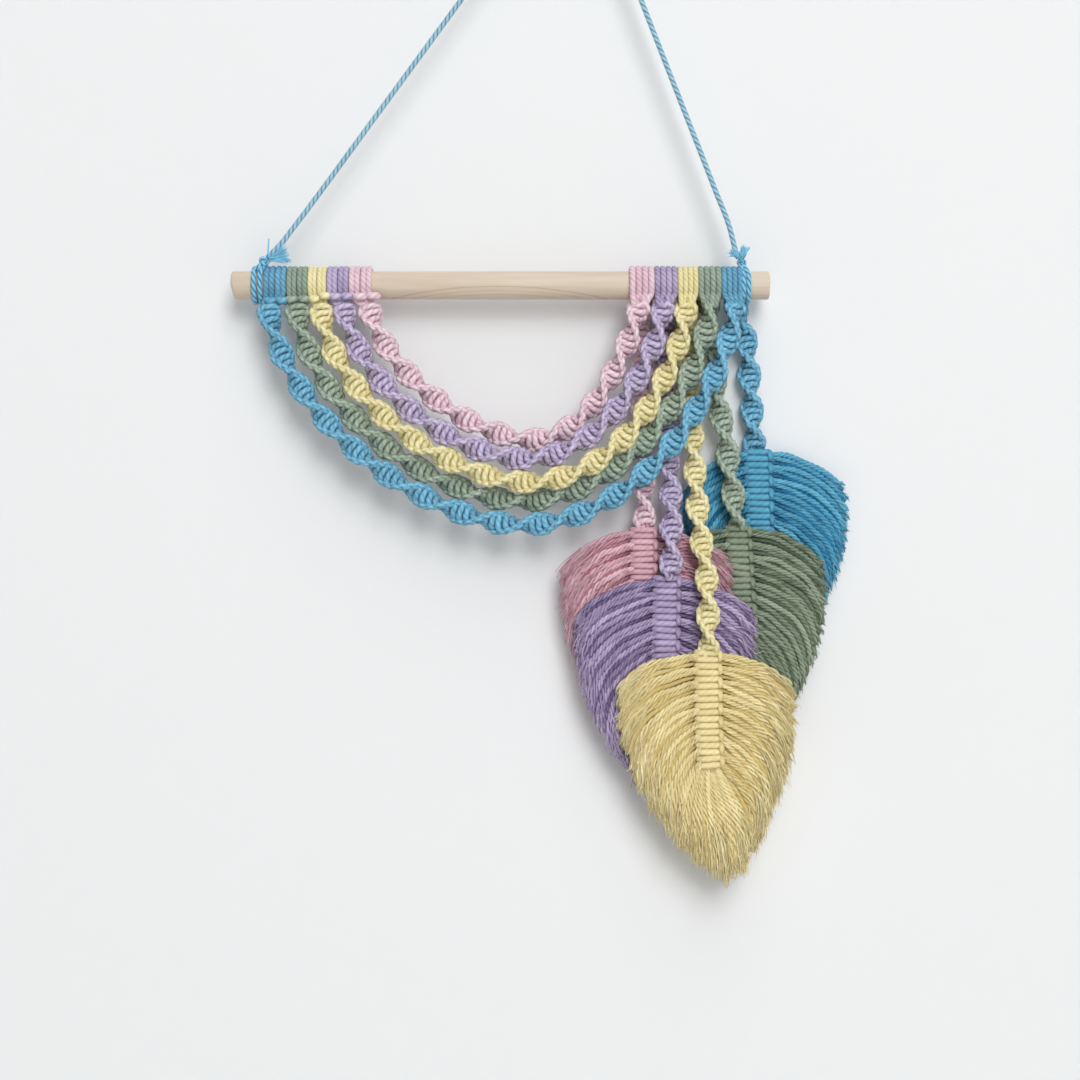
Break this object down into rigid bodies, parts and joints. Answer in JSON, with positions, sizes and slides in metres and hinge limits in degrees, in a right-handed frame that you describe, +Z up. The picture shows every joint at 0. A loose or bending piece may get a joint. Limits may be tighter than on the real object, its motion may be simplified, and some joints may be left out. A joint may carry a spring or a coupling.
{
  "type": "macrame wall hanging on a wooden dowel",
  "caption": "Macrame wall hanging: nested spiral-knot cotton swags on a wooden dowel, each dropping to a knotted fringed leaf, under a cord hanger.",
  "frame": {"origin": "inside of the hanger cord's bend, where a nail carries it", "axes": "+Z up, +Y into the wall, +X to the viewer's right when facing the hanging"},
  "size_m": [0.3517, 0.0364, 0.5859],
  "materials": {
    "wood": "bare sanded pale wood",
    "cord_blue": "matt twisted cotton cord, blue",
    "fringe_blue": "matt combed-out cotton fibres, blue",
    "cord_green": "matt twisted cotton cord, green",
    "fringe_green": "matt combed-out cotton fibres, green",
    "cord_yellow": "matt twisted cotton cord, yellow",
    "fringe_yellow": "matt combed-out cotton fibres, yellow",
    "cord_lavender": "matt twisted cotton cord, lavender",
    "fringe_lavender": "matt combed-out cotton fibres, lavender",
    "cord_pink": "matt twisted cotton cord, pink",
    "fringe_pink": "matt combed-out cotton fibres, pink"
  },
  "bodies": {
    "root": {"dowel": "wood", "hanger_cord": "cord_blue", "hanger_wrap_left": "cord_blue", "hanger_wrap_right": "cord_blue", "hanger_knot_left": "cord_blue", "hanger_knot_right": "cord_blue", "hanger_tail_left": "cord_blue", "hanger_tail_right": "cord_blue", "hanger_tail_right_short": "cord_blue", "head_left_blue": "cord_blue", "head_right_blue": "cord_blue", "swag_blue": "cord_blue", "drop_blue": "cord_blue", "leaf_blue": "fringe_blue", "head_left_green": "cord_green", "head_right_green": "cord_green", "swag_green": "cord_green", "drop_green": "cord_green", "leaf_green": "fringe_green", "head_left_yellow": "cord_yellow", "head_right_yellow": "cord_yellow", "swag_yellow": "cord_yellow", "drop_yellow": "cord_yellow", "leaf_yellow": "fringe_yellow", "head_left_lavender": "cord_lavender", "head_right_lavender": "cord_lavender", "swag_lavender": "cord_lavender", "drop_lavender": "cord_lavender", "leaf_lavender": "fringe_lavender", "head_left_pink": "cord_pink", "head_right_pink": "cord_pink", "swag_pink": "cord_pink", "drop_pink": "cord_pink", "leaf_pink": "fringe_pink"}
  },
  "joints": []
}
